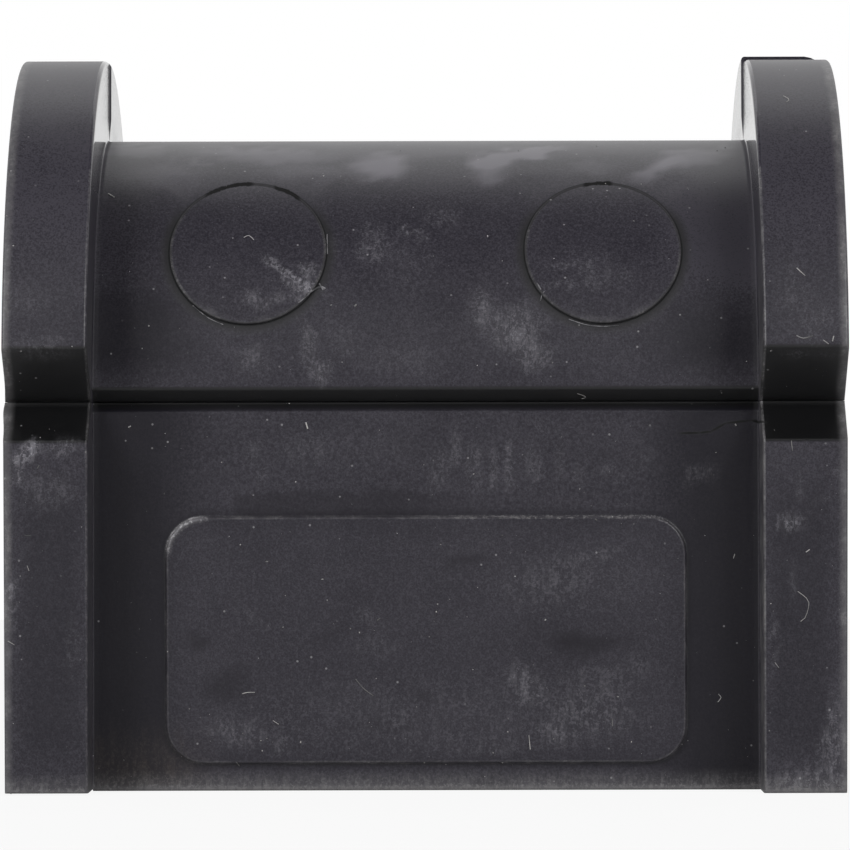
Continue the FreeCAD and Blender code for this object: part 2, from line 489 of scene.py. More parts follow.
# Marks from the mould and from handling, seen from the front in mm: x, z, width,
# height, turn clockwise in degrees, strength. First pale scuffs and bloom.
scuffs = [
    (-11.2, 40.7, 4.6, 0.8, 34, 1.2), (-9.9, 39.5, 4.0, 1.4, 14, 1.2), (-9.2, 40.5, 2.6, 1.2, 10, 0.8),
    (-13.3, 38.2, 3.4, 1.5, 12, 0.5), (-10.6, 38.6, 4.4, 1.0, -8, 0.5), (-8.9, 39.2, 1.2, 1.0, 0, 1.0),
    (12.2, 40.9, 8.0, 0.9, 0, 0.4), (11.6, 39.6, 7.0, 1.0, 0, 0.35), (14.6, 40.2, 6.0, 1.2, 0, 0.2),
    (13.2, 41.4, 7.0, 3.0, 0, 0.1), (-1.2, 43.8, 4.0, 1.0, 34, 0.65), (-4.4, 43.0, 3.6, 4.6, 20, 0.3),
    (-1.4, 41.0, 7.0, 6.6, 0, 0.12), (1.5, 45.0, 4.0, 2.6, 0, 0.25), (-3.9, 42.4, 3.4, 3.0, 0, 0.18),
    (4.4, 37.6, 2.6, 5.0, -8, 0.5), (7.0, 35.9, 5.0, 5.2, 10, 0.68), (8.6, 33.7, 4.0, 3.0, 0, 0.5),
    (-9.0, 34.8, 1.8, 6.0, 0, 0.4), (-8.2, 32.6, 2.2, 3.0, 0, 0.6), (-13.4, 33.6, 4.0, 3.2, 0, 0.28),
    (-6.4, 35.0, 3.0, 5.0, 0, 0.15), (-2.0, 33.5, 9.0, 3.0, 0, 0.12), (-7.2, 42.6, 2.0, 1.4, 0, 0.2),
    (-13.4, 26.6, 2.6, 3.0, 0, 0.22), (-12.6, 24.6, 0.7, 2.4, 0, 0.3), (-9.2, 26.5, 5.0, 3.0, 0, 0.14),
    (2.3, 26.1, 0.7, 5.6, 8, 0.5), (1.0, 25.0, 2.4, 4.6, 0, 0.3), (3.7, 25.2, 1.0, 6.0, 0, 0.4),
    (5.2, 25.2, 0.9, 6.0, 0, 0.42), (6.6, 25.6, 1.2, 6.0, 4, 0.42), (8.3, 25.4, 0.8, 5.4, 0, 0.36),
    (10.3, 25.8, 1.0, 4.6, 0, 0.2), (0.0, 5.6, 42.0, 9.0, 0, 0.14), (11.0, 16.4, 17.0, 7.0, 0, 0.13),
    (-6.0, 26.6, 16.0, 4.0, 0, 0.08), (12.0, 24.9, 1.2, 3.0, 0, 0.2), (14.6, 24.6, 3.4, 0.9, 22, 0.3),
    (16.8, 25.6, 2.6, 2.0, 0, 0.16), (21.4, 24.6, 4.0, 2.2, 0, 0.22), (9.6, 28.2, 4.6, 1.2, 20, 0.14),
    (7.4, 8.9, 4.6, 2.2, 30, 0.5), (8.0, 7.4, 3.6, 1.8, 0, 0.45), (12.8, 6.0, 10.0, 5.2, 0, 0.34),
    (10.0, 4.4, 3.6, 1.8, 20, 0.35), (16.6, 9.8, 1.6, 3.0, -35, 0.28), (13.6, 8.6, 9.0, 3.6, 0, 0.2),
    (13.6, 18.4, 6.6, 1.4, -18, 0.22), (10.4, 16.8, 7.6, 4.0, 0, 0.12), (8.6, 15.4, 8.0, 4.0, 0, 0.1),
    (-14.8, 4.6, 6.4, 2.6, 12, 0.42), (-11.4, 3.5, 3.0, 1.4, 0, 0.4), (-13.6, 13.5, 5.0, 1.0, 28, 0.16),
    (-4.0, 11.2, 6.6, 1.8, 0, 0.16), (-4.4, 13.6, 3.6, 1.8, 30, 0.22), (-2.2, 5.6, 2.4, 1.4, 0, 0.25),
    (4.6, 3.0, 9.0, 1.0, 0, 0.2), (-30.6, 26.6, 3.2, 1.8, -40, 1.8), (-31.4, 25.0, 1.6, 3.0, 0, 1.1),
    (-28.0, 26.9, 4.6, 1.6, 0, 0.5), (2.1, 28.0, 0.5, 2.2, 6, 0.6), (-29.0, 23.4, 6.0, 4.0, 0, 0.26),
    (-32.1, 15.0, 1.2, 6.0, 0, 1.3), (-32.2, 11.2, 0.8, 2.6, 0, 1.0), (-27.2, 11.5, 1.6, 7.0, 0, 0.2),
    (-29.5, 34.6, 6.4, 2.6, 0, 0.26), (-30.8, 38.0, 4.0, 3.0, 0, 0.14), (28.2, 20.9, 3.0, 2.2, 0, 1.0),
    (28.6, 23.6, 0.8, 4.6, 4, 0.2), (28.2, 16.4, 0.6, 6.0, 0, 0.22), (31.3, 3.6, 3.0, 6.4, 0, 0.6),
    (32.1, 2.6, 0.8, 4.6, 0, 1.2), (29.8, 0.6, 8.0, 3.6, 0, 0.9), (31.6, 6.4, 2.0, 4.0, 0, 0.3),
    (27.0, 11.4, 0.7, 6.0, 0, 0.5), (30.6, 22.6, 3.0, 1.0, -30, 0.2), (30.0, 36.2, 4.4, 5.0, 0, 0.16),
    (28.3, 39.0, 2.0, 6.0, 0, 0.2), (32.1, 24.0, 0.8, 3.0, 0, 0.5), (29.5, 33.9, 5.6, 0.7, 0, 0.45),
]

# Darker, smoother places where the haze was wiped or never formed
stains = [
    (12.6, 11.4, 8.8, 2.3, -4, 0.85), (11.0, 11.9, 4.4, 1.8, 0, 0.5), (3.0, 17.8, 4.4, 1.3, 0, 0.8),
    (-17.6, 11.6, 3.2, 1.5, 12, 0.9), (-15.6, 8.3, 5.2, 3.8, -10, 0.65), (-7.4, 12.2, 6.4, 1.4, -28, 0.35),
    (0.2, 7.2, 4.0, 1.6, 0, 0.35), (-4.0, 5.0, 9.0, 2.2, 0, 0.3), (-14.0, 9.8, 2.6, 1.0, 0, 0.3),
    (9.0, 12.6, 6.0, 3.0, 0, 0.25), (-1.0, 27.0, 5.0, 2.2, 0, 0.25), (14.2, 26.2, 2.6, 0.6, 0, 0.35),
    (0.5, 20.3, 7.0, 1.6, 0, 0.2),
]

# Thin greasy film on the crown, which shows as cloudy smears
films = [
    (-3.7, 49.3, 6.4, 3.4, 0, 0.9), (-23.6, 50.8, 7.0, 1.6, 0, 0.5), (-13.0, 50.4, 15.0, 1.9, 3, 0.45),
    (0.0, 51.0, 56.0, 2.6, 0, 0.2), (4.9, 49.2, 4.4, 3.6, 30, 0.65), (6.6, 50.1, 7.0, 1.9, -14, 0.9),
    (9.4, 50.7, 6.0, 1.0, -10, 0.5), (18.4, 49.0, 6.0, 1.6, -24, 0.7), (21.4, 50.1, 8.0, 2.2, -8, 0.75),
    (-21.0, 48.6, 9.0, 2.6, 0, 0.25), (-9.6, 48.9, 10.0, 1.8, 3, 0.25), (13.4, 49.2, 5.0, 1.8, 0, 0.2),
    (-18.6, 49.8, 5.0, 0.4, 14, 0.3),
]


def strength_at(x, z, kind):
    """How strongly the marks of one kind show at that place."""
    total = 0.0
    for mark_x, mark_z, wide, high, turn, strength in kind:
        turn = math.radians(turn)
        dx, dz = x - mark_x, z - mark_z
        along = (dx * math.cos(turn) - dz * math.sin(turn)) * 2 / wide
        beside = (dx * math.sin(turn) + dz * math.cos(turn)) * 2 / high
        away = math.hypot(along, beside)
        if away < 1:
            total += strength * soft_step(1, 0.3, away)
    return total


# One attribute holds the marks; its last channel is 0 on the end faces. The seed
# makes the marks' outlines waver alike in each run.
waver_seed = 1796044678
noise.seed_set(waver_seed)
marks = mesh.color_attributes.new("marks", "FLOAT_COLOR", "POINT")
for vertex, mark in zip(mesh.vertices, marks.data):
    skin_side = soft_step(0.95, 0.6, abs(vertex.normal.x))
    if vertex.co.y < -0.002:
        seen = vertex.co / mm
        seen += noise.noise_vector(seen * 0.8) * 0.55
        mark.color = [strength_at(seen.x, seen.z, kind) for kind in (scuffs, stains, films)] + [skin_side]
    else:
        mark.color = (0, 0, 0, skin_side)


class Wire:
    """A value in a material. Plain arithmetic on it adds the Math nodes."""

    def __init__(self, tree, socket=None):
        self.tree = tree
        self.socket = socket

    def node(self, kind, settings=None, inputs=None, output=0):
        made = self.tree.nodes.new(kind)
        for name, value in (settings or {}).items():
            setattr(made, name, value)
        for name, value in (inputs or {}).items():
            if isinstance(value, Wire):
                self.tree.links.new(value.socket, made.inputs[name])
            else:
                made.inputs[name].default_value = value
        return Wire(self.tree, made.outputs[output])

    def other(self, output):
        """Another output of the same node."""
        return Wire(self.tree, self.socket.node.outputs[output])

    def maths(self, operation, first, second=0.0):
        return self.node("ShaderNodeMath", {"operation": operation}, {0: first, 1: second})

    def __add__(self, value):
        return self.maths("ADD", self, value)

    def __radd__(self, value):
        return self.maths("ADD", value, self)

    def __sub__(self, value):
        return self.maths("SUBTRACT", self, value)

    def __rsub__(self, value):
        return self.maths("SUBTRACT", value, self)

    def __mul__(self, value):
        return self.maths("MULTIPLY", self, value)

    def __rmul__(self, value):
        return self.maths("MULTIPLY", value, self)

    def size(self):
        return self.maths("ABSOLUTE", self)

    def at_least(self, value):
        return self.maths("MAXIMUM", self, value)

    def at_most(self, value):
        return self.maths("MINIMUM", self, value)


def fade(value, start, end):
    """0 at start and 1 at end, with a smooth run between them."""
    return value.node("ShaderNodeMapRange", {"interpolation_type": "SMOOTHSTEP"},
                      {"Value": value, "From Min": start, "From Max": end})


def near(value, outer, inner):
    """1 where the value lies within inner of 0, and gone at outer."""
    return fade(value.size(), outer, inner)


def strongest(first, *others):
    """The largest of several shares."""
    for share in others:
        first = first.at_least(share)
    return first


def grain(place, per_mm, detail=2.0, roughness=0.5, stretch=None):
    """Noise of that fineness, about 0.5 in the middle; stretch draws it out, in mm."""
    if stretch:
        place = place.node("ShaderNodeMapping", {"vector_type": "TEXTURE"}, {"Vector": place, "Scale": stretch})
    return place.node("ShaderNodeTexNoise", {}, {
        "Vector": place, "Scale": per_mm, "Detail": detail, "Roughness": roughness})


def tinted(base, colour, share):
    """A colour laid over another by that share."""
    return share.node("ShaderNodeMix", {"data_type": "RGBA"}, {0: share, 6: base, 7: colour}, 2)


def new_finish(name):
    """A material, its shader, a first wire and the place on the object in mm."""
    finish = bpy.data.materials.new(name)
    finish.use_nodes = True
    maker = Wire(finish.node_tree)
    place = maker.node("ShaderNodeVectorMath", {"operation": "SCALE"},
                       {0: maker.node("ShaderNodeTexCoord", output="Object"), "Scale": 1000.0})
    return finish, finish.node_tree.nodes["Principled BSDF"], maker, place


def feed(value, shader, name):
    value.tree.links.new(value.socket, shader.inputs[name])


rubber, shader, maker, place = new_finish("rubber")
across = maker.node("ShaderNodeSeparateXYZ", {}, {"Vector": place})
depth, height = across.other(1), across.other(2)
aside = across.size()
front = fade(depth, -2.0, -6.0)
right_half = fade(across, -5.0, 5.0)

# Patterns: fine speckle, strokes and flecks of chalky rub, clouds and patches
speckle = grain(place, 6.5, 2.0, 0.7)
mottle = fade(speckle, 0.34, 0.66)
strokes = fade(grain(place, 1.0, 4.0, 0.75, (0.5, 1.0, 1.9)), 0.46, 0.6)
flecks = fade(grain(place, 3.4, 2.0, 0.8), 0.5, 0.62)
chalk = 0.65 * strokes + 0.75 * flecks
cloud = grain(place, 0.14, 6.0, 0.68)
patchy = fade(grain(place, 0.4, 5.0, 0.7), 0.36, 0.7)

# Regions: the groove, the flanges, and the distance out from pad and discs
on_flange = fade(aside, inner_face - 0.1, inner_face)
apex = body_apex + (flange_apex - body_apex) * on_flange
outside_groove = fade((height - groove_height).size() + (depth + apex) * groove_slope, 0.02, 0.3)
pad_aside = (aside - (pad_half[0] - pad_corner)).at_least(0.0)
pad_above = ((height - pad_middle).size() - (pad_half[1] - pad_corner)).at_least(0.0)
pad_rim = maker.maths("SQRT", pad_aside * pad_aside + pad_above * pad_above) - pad_corner
off_pad = fade(pad_rim, -0.05, 0.05)
pad_top = pad_middle + pad_half[1]
disc_height = axis_height + body_radius * math.sin(math.radians(disc_angle))
disc_depth = -body_radius * math.cos(math.radians(disc_angle))
disc_up = (height - disc_height) * math.cos(disc_tilt) + (depth - disc_depth) * math.sin(disc_tilt)
disc_aside = aside - disc_spacing / 2
disc_away = maker.maths("SQRT", disc_aside * disc_aside + disc_up * disc_up) - disc_radius

# A thin grey haze from handling lies on all but the groove and the strips beside
# the flanges. The strips are darker partly as clean rubber and partly as painted
# shadow of the flanges. The haze thins a little just inside the pad's rim, is darkened
# just outside it as painted contact shadow, and thins out on the flanges' feet
low_dome = 0.85 * fade(height + 1.5 * right_half, 41.5, 36.5) * fade(height, 31.2, 34.5)
left_dome = 0.3 * (1 - right_half) * fade(height, 49.0, 46.0) * fade(height, 31.2, 33.0)
strip = fade(aside, 15.0, 21.8) * fade(aside, inner_face, inner_face - 0.15) * off_pad * front
strip = strip * strongest(low_dome, left_dome, fade(height, 31.0, 30.0))
haze = outside_groove * (1 - 0.82 * strip) * (0.05 + 0.5 * mottle + 0.5 * cloud + 0.3 * flecks)
haze = haze * (1 - 0.18 * fade(pad_rim, -2.2, -0.1) * fade(pad_rim, 0.1, -0.1))
# Painted contact shadow: the haze is darkened just outside the raised pad's rim
haze = haze * (1 - 0.5 * fade(pad_rim, 0.8, 0.05) * off_pad * front)
flange_top = 0.4 * fade(height, 41.0, 46.0)
flange_middle = 0.16 * fade(height, 42.0, 37.0) * fade(height, 29.0, 31.0)
haze = haze * (1 + on_flange * front * (0.1 + flange_top - flange_middle))
# Painted light: the haze is made paler on the dome beside the flanges, more on the right, to lift the flanges' shadow
# there
painted_light_beside_flange = fade(aside, 17.0, 24.0) * (1 - on_flange) * fade(height, 38.0, 42.0)
haze = haze * (1 + (0.5 + 0.6 * right_half) * painted_light_beside_flange)
flange_foot = near(aside - 28.9, 3.4, 1.2) * fade(height, 27.0, 21.0) * fade(height, 1.0, 5.0)
haze = haze * (1 - 0.42 * flange_foot)

# The haze is darker and smoother in a band above the pad and on the stains
worn = maker.node("ShaderNodeAttribute", {"attribute_name": "marks"}, {}, "Color")
skin_side = worn.other("Alpha")
scuffed = maker.node("ShaderNodeSeparateColor", {}, {"Color": worn})
stained, film = scuffed.other(1), scuffed.other(2)
above_pad = fade(height + 3.0 * grain(place, 0.5, 3.0), 24.9, 24.4) * fade(height, pad_top - 0.4, pad_top)
above_pad = above_pad * fade(across, -15.4, -14.6) * fade(across, 9.0, -4.0) * off_pad * front
darker_smoother = (0.45 * above_pad + 0.7 * stained).at_most(0.75)

# A hairline tear runs from the right flange's foot, just below the lower lip
tear = [(19.92, 27.83), (21.4, 27.85), (22.26, 27.95), (23.43, 28.6), (25.39, 28.82), (26.3, 28.62)]
tear_width = 0.15
torn = 0.0
for (x, z), (to_x, to_z) in zip(tear, tear[1:]):
    stretch = maker.node("ShaderNodeMapping", {"vector_type": "TEXTURE"}, {
        "Vector": place, "Location": ((x + to_x) / 2, 0, (z + to_z) / 2),
        "Rotation": (0, math.atan2(z - to_z, to_x - x), 0),
        "Scale": (math.hypot(to_x - x, to_z - z) * 0.95, 1000, tear_width)})
    away = stretch.node("ShaderNodeVectorMath", {"operation": "LENGTH"}, {0: stretch}, "Value")
    torn = fade(away, 1, 0.3).at_least(torn)
torn = torn * front

# Each disc has a line of painted contact shadow round it, painted shade below it and painted shade in the sunk gaps
# along its top
rim_painted_shadow = near(disc_away, 0.2, 0.08) * front
shade = fade(disc_away, 1.1, 0.05) * fade(disc_away, -0.02, 0.06) * fade(disc_up, 5.0, 2.0) * front
sunk_gap_shade = strongest(near(across + 15.6, 2.1, 1.5), near(across + 11.0, 1.2, 0.8), near(across - 13.7, 1.3, 0.9))
sunk_gap_shade = sunk_gap_shade * fade(disc_up, 4.0, 4.6) * front
sunk_gap_shade = sunk_gap_shade * fade(disc_away.size() + 0.5 * grain(place, 1.3, 3.0, 0.7), 0.5, 0.36)
# The real tear and the painted shade in the discs' gaps, together
tear_and_gap_shade = torn.at_least(sunk_gap_shade)

# Edges show pale: real rubbing and dust on the rims of pad and discs and the flanges' edges, with painted highlight
# where these rounded edges catch the lamps, and painted light bounced up from the floor along the bottom
pad_corner_rub = fade(across, -16.6, -18.0) * fade(height, 18.0, 19.6)
pad_top_rub = fade(across, 1.0, 6.0) * fade(height, 20.0, 21.2) * flecks
pad_edge = 0.12 + 0.6 * patchy * (0.4 + chalk) + 1.1 * pad_corner_rub * (0.3 + flecks) + 1.2 * pad_top_rub
rubbed_and_lit_edges = front * strongest(
    near(pad_rim + 0.06, 0.2, 0.05) * pad_edge,
    near(pad_rim + 0.16, 0.36, 0.16) * pad_corner_rub * (0.35 + 0.9 * flecks),
    near(disc_away + 0.08, 0.18, 0.05) * fade(disc_up, 5.0, 1.0) * (0.05 + 0.55 * patchy * (0.5 + flecks)),
    near(disc_away + 0.32, 0.3, 0.12) * fade(disc_up, -3.6, -5.2) * 0.3 * patchy,
    near(aside - inner_face - 0.06, 0.16, 0.05) * fade(depth, -body_foot - 0.1, -body_foot - 0.3)
    * (0.08 + (0.2 + 0.85 * right_half) * patchy + 0.4 * flecks),
    # Flanges' outer edges: rubbing and painted highlight; bottom edge: painted light bounced from the floor
    fade(aside, half_length - 0.8, half_length - 0.1) * skin_side * (0.5 + 0.8 * patchy * (0.5 + chalk)),
    fade(height, 0.6, 0.1) * (0.6 + 0.7 * flecks))
bright_corner = near(pad_rim + 0.1, 0.25, 0.1) * pad_corner_rub * front * (0.2 + 0.6 * flecks)

# Paler along the bottom, brown dust at the left, and dust too fine to be its own specks
paler_bottom = fade(height, 1.9, 0.1) * (0.4 + 0.6 * chalk)
earth = fade(height, 6.5, 0.5) * fade(across, -15.0, -20.5) * fade(aside, inner_face, inner_face - 0.2)
earth = earth * front * (0.25 + 0.6 * chalk)
cells = maker.node("ShaderNodeTexVoronoi", {}, {"Vector": place, "Scale": 0.9})
chance = maker.node("ShaderNodeSeparateColor", {}, {"Color": cells.other("Color")})
dust = fade(cells, 0.10, 0.05) * fade(chance, 0.62, 0.9)

clean_rubber = (0.0042, 0.0032, 0.0082, 1)
hazed_rubber = (0.052, 0.0482, 0.061, 1)
# Painted light in the groove: its lower face dark as shade under the upper lip, its upper face lighter as light
# bounced from the floor
groove_painted_shade = (0.004, 0.004, 0.0045, 1)
groove_painted_bounce = (0.015, 0.015, 0.016, 1)
darker_rubber = (0.0105, 0.0088, 0.0135, 1)
greasy_film = (0.15, 0.142, 0.165, 1)
chalk_grey = (0.27, 0.262, 0.29, 1)
earth_brown = (0.11, 0.09, 0.075, 1)
# Painted shadow round and below the discs
painted_shadow_black = (0.006, 0.006, 0.0065, 1)
# Pale of rubbed edges and of their painted highlights
rub_and_highlight_grey = (0.17, 0.165, 0.17, 1)
pale_rub = (0.42, 0.41, 0.43, 1)
dust_grey = (0.42, 0.41, 0.42, 1)
# Dark of the tear and painted shade in the discs' sunk gaps
tear_and_shade_black = (0.003, 0.003, 0.003, 1)

# The groove carries no haze, only its painted shade and painted bounce light
groove_painted_light = tinted(groove_painted_shade, groove_painted_bounce, fade(height, groove_height - 0.3, groove_height + 0.3))
colour = tinted(groove_painted_light, tinted(clean_rubber, hazed_rubber, haze), outside_groove)
for coat, share in [
        (darker_rubber, darker_smoother), (greasy_film, film.at_most(0.9)),
        (chalk_grey, (0.44 * scuffed * (0.08 + chalk)).at_most(1.0)), (earth_brown, 0.4 * earth),
        (painted_shadow_black, 0.7 * rim_painted_shadow), (rub_and_highlight_grey, (0.75 * rubbed_and_lit_edges + 0.7 * paler_bottom).at_most(1.0)),
        (painted_shadow_black, 0.9 * shade), (pale_rub, bright_corner), (dust_grey, 0.5 * dust), (tear_and_shade_black, tear_and_gap_shade)]:
    colour = tinted(colour, coat, share)
feed(colour, shader, "Base Color")

# Satin, matt where there is dust or a gap; the flanges' inner walls near the top
# are smooth enough to mirror the backdrop
corner_dust = fade(aside, inner_face - 0.55, inner_face - 0.3) * fade(aside, inner_face - 0.08, inner_face - 0.16)
wall_top = fade(aside, inner_face - 0.16, inner_face - 0.08) * fade(height, 45.0, 50.0)
root_top = fade(aside, inner_face - 0.5, inner_face - 0.35) * fade(height, 52.0, 52.4)
inner_wall = wall_top.at_least(root_top) * fade(aside, inner_face + 0.25, inner_face + 0.15)
gloss = 0.33 + 0.08 * cloud + 0.03 * mottle + 0.2 * scuffed.at_most(1.0) - 0.05 * darker_smoother - 0.04 * film
gloss = gloss + 0.25 * corner_dust + 0.5 * tear_and_gap_shade + 0.3 * shade + 0.25 * rim_painted_shadow
feed(gloss.at_least(0.32) * (1 - 0.85 * inner_wall), shader, "Roughness")
shader.inputs["Specular IOR Level"].default_value = 0.5
relief = maker.node("ShaderNodeBump", {}, {"Strength": 0.5, "Distance": 0.000012, "Height": speckle})
feed(relief, shader, "Normal")
mesh.materials.append(rubber)
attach(bushing, "root")
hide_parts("bushing")


# Specks of dust cling all over the front of the rubber. They are a fraction of
# a millimetre across and fell on it in a store or a studio.
def add_node(tree, kind, settings=None, inputs=None):
    """Adds a node: settings first, then the values or links of its sockets."""
    made = tree.nodes.new(kind)
    for name, value in (settings or {}).items():
        setattr(made, name, value)
    for name, value in (inputs or {}).items():
        if isinstance(value, bpy.types.Node):
            value = value.outputs[0]
        if isinstance(value, bpy.types.NodeSocket):
            tree.links.new(value, made.inputs[name])
        else:
            made.inputs[name].default_value = value
    return made


def new_group(name, sockets):
    """A geometry group with named inputs, given as (name, kind), and one output."""
    tree = bpy.data.node_groups.new(name, "GeometryNodeTree")
    for socket_name, kind in sockets:
        tree.interface.new_socket(socket_name, in_out="INPUT", socket_type=kind)
    tree.interface.new_socket("Geometry", in_out="OUTPUT", socket_type="NodeSocketGeometry")
    return tree, tree.nodes.new("NodeGroupInput").outputs, tree.nodes.new("NodeGroupOutput")


def grown(name, base_mesh, tree, values):
    """An object with the plain mesh that the group makes of base_mesh."""
    piece = bpy.data.objects.new(name, base_mesh)
    scene.collection.objects.link(piece)
    modifier = piece.modifiers.new("grow", "NODES")
    modifier.node_group = tree
    for item in tree.interface.items_tree:
        if item.in_out == "INPUT" and item.name in values:
            modifier[item.identifier] = values[item.name]
    result = bpy.data.meshes.new_from_object(piece.evaluated_get(bpy.context.evaluated_depsgraph_get()))
    piece.modifiers.remove(modifier)
    piece.data = result
    result.name = name
    return piece


pale_dust, shader, maker, place = new_finish("pale_dust")
dull, bright = (0.1, 0.098, 0.098, 1), (0.5, 0.49, 0.48, 1)
feed(tinted(dull, bright, fade(grain(place, 0.45), 0.35, 0.65)), shader, "Base Color")
shader.inputs["Roughness"].default_value = 0.8


def scatter_dust():
    """Strews squashed crumbs over the front; large ones are rare."""
    front_limit = -0.25
    smallest_share = 0.28
    rarity = 5.0
    tree, given, result = new_group("dust_on_skin", [
        ("Geometry", "NodeSocketGeometry"), ("Specks per square metre", "NodeSocketFloat"),
        ("Largest speck", "NodeSocketFloat"), ("Seed", "NodeSocketInt"), ("Material", "NodeSocketMaterial")])
    facing = add_node(tree, "ShaderNodeSeparateXYZ", {}, {0: add_node(tree, "GeometryNodeInputNormal")})
    frontal = add_node(tree, "FunctionNodeCompare", {"operation": "LESS_THAN"}, {
        0: facing.outputs[1], 1: front_limit})
    scattered = add_node(tree, "GeometryNodeDistributePointsOnFaces", {}, {
        "Mesh": given["Geometry"], "Selection": frontal,
        "Density": given["Specks per square metre"], "Seed": given["Seed"]})
    luck = add_node(tree, "FunctionNodeRandomValue", {"data_type": "FLOAT"}, {
        2: 0.0, 3: 1.0, "Seed": given["Seed"]})
    rare = add_node(tree, "ShaderNodeMath", {"operation": "POWER"}, {0: luck.outputs[1], 1: rarity})
    share = add_node(tree, "ShaderNodeMath", {"operation": "MULTIPLY_ADD"}, {
        0: rare, 1: 1 - smallest_share, 2: smallest_share})
    size = add_node(tree, "ShaderNodeMath", {"operation": "MULTIPLY"}, {0: share, 1: given["Largest speck"]})
    turned = add_node(tree, "FunctionNodeRandomValue", {"data_type": "FLOAT_VECTOR"}, {
        0: (0.0, 0.0, 0.0), 1: (3.0, 3.0, 3.0), "Seed": given["Seed"]})
    crumb = add_node(tree, "GeometryNodeMeshIcoSphere", {}, {"Radius": 1.0, "Subdivisions": 1})
    squashed = add_node(tree, "GeometryNodeTransform", {}, {"Geometry": crumb, "Scale": (1.0, 0.8, 0.65)})
    strewn = add_node(tree, "GeometryNodeInstanceOnPoints", {}, {
        "Points": scattered, "Instance": squashed, "Rotation": turned, "Scale": size})
    real = add_node(tree, "GeometryNodeRealizeInstances", {}, {0: strewn})
    coated = add_node(tree, "GeometryNodeSetMaterial", {}, {"Geometry": real, "Material": given["Material"]})
    tree.links.new(coated.outputs[0], result.inputs[0])
    return tree


specks = grown("dust_specks", mesh.copy(), scatter_dust(), {
    "Specks per square metre": 95000.0, "Largest speck": 0.000085, "Seed": 4, "Material": pale_dust})
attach(specks, "root")


# Lint: short pale threads and the larger crumbs, each stuck where it fell. A
# thread is a fine hair that follows the surface, given as x, z points in mm.
lint = [
    (0.06, (-25.2, 47.0), (-24.7, 46.7)), (0.03, (-14.3, 43.35), (-13.9, 43.5), (-13.5, 43.15)),
    (0.07, (-9.35, 28.75), (-9.2, 28.25)),
    (0.035, (28.67, 15.58), (29.51, 14.8), (29.28, 13.65), (28.89, 13.26)),
    (0.04, (26.9, 10.1), (27.2, 9.7)), (0.04, (28.4, 54.6), (28.8, 54.3), (28.6, 54.05)),
    (0.045, (28.67, 40.5), (29.3, 39.9)), (0.045, (28.55, 35.25), (29.1, 35.05), (29.8, 35.25)),
    (0.04, (-5.51, 8.73), (-4.9, 8.0), (-4.11, 7.4)), (0.04, (22.8, 7.45), (23.0, 7.2), (22.75, 6.84)),
    (0.035, (14.5, 5.6), (14.5, 5.0)), (0.04, (8.0, 4.3), (8.1, 3.2)),
    (0.04, (-14.35, 7.6), (-13.9, 7.7), (-13.37, 7.7)), (0.035, (-11.96, 5.5), (-11.5, 5.2)),
    (0.045, (-14.8, 2.25), (-14.6, 1.95)), (0.035, (-32.2, 11.9), (-31.7, 11.6)),
    (0.035, (-30.7, 17.7), (-30.56, 17.3)), (0.03, (-30.9, 20.05), (-30.4, 20.0)),
    (0.05, (-29.9, 25.2), (-29.75, 25.45)), (0.035, (28.2, 27.2), (28.3, 26.4)),
    (0.05, (29.3, 18.6), (29.6, 18.8)), (0.04, (24.0, 18.05), (24.1, 18.4)),
    (0.03, (11.85, 30.95), (12.5, 30.7), (12.2, 30.55)), (0.06, (-7.4, 37.85), (-7.35, 37.95)),
    (0.08, (-5.55, 37.8), (-5.4, 37.95)), (0.07, (-21.6, 36.25), (-21.6, 36.35)),
    (0.05, (-22.1, 34.5), (-22.1, 34.58)), (0.055, (4.9, 43.35), (4.9, 43.45)),
    (0.065, (9.25, 13.25), (9.35, 13.35)), (0.055, (-8.15, 16.5), (-8.0, 16.52)),
    (0.07, (8.0, 21.3), (8.1, 21.3)), (0.06, (5.7, 21.2), (5.8, 21.2)),
    (0.07, (13.2, 21.15), (13.35, 21.05)), (0.06, (14.5, 21.3), (14.6, 21.3)),
    (0.05, (10.4, 21.2), (10.5, 21.2)), (0.06, (-12.9, 3.9), (-12.9, 3.98)),
    (0.06, (-9.8, 3.75), (-9.8, 3.9)), (0.055, (-12.8, 3.1), (-12.8, 3.2)),
    (0.06, (-26.2, 26.4), (-26.15, 26.5)), (0.08, (26.55, 34.1), (26.65, 34.15)),
    (0.07, (-31.1, 34.2), (-31.0, 34.25)), (0.08, (24.15, 28.55), (24.25, 28.4)),
    (0.06, (-23.2, 28.4), (-23.0, 28.5)), (0.06, (-3.8, 13.3), (-3.6, 13.45)),
    (0.05, (-5.2, 12.3), (-5.2, 12.4)), (0.05, (-5.9, 12.6), (-5.9, 12.7)),
    (0.06, (0.9, 14.5), (0.9, 14.6)), (0.055, (0.8, 13.9), (0.8, 14.0)), (0.05, (0.2, 12.0), (0.3, 12.0)),
    (0.06, (-12.5, 17.9), (-12.3, 17.9)), (0.055, (5.9, 19.9), (6.0, 19.9)),
    (0.05, (1.1, 19.2), (1.2, 19.2)), (0.05, (6.9, 16.7), (7.0, 16.7)), (0.055, (5.2, 2.9), (5.2, 3.0)),
    (0.055, (14.9, 7.3), (15.0, 7.3)), (0.05, (30.6, 34.9), (31.0, 34.6)),
    (0.06, (31.3, 34.8), (31.4, 35.2)), (0.045, (9.9, 33.3), (9.9, 33.4)),
    (0.05, (22.6, 26.3), (22.7, 26.35)),
]
skin_tree = BVHTree.FromPolygons([v.co for v in mesh.vertices], [p.vertices for p in mesh.polygons])


def on_front(x, z, out=0.0):
    """The place on the front of the rubber, seen straight from the front, in metres."""
    hit = skin_tree.ray_cast(Vector((x * mm, -0.1, z * mm)), Vector((0, 1, 0)))
    return hit[0] + hit[1] * out * mm


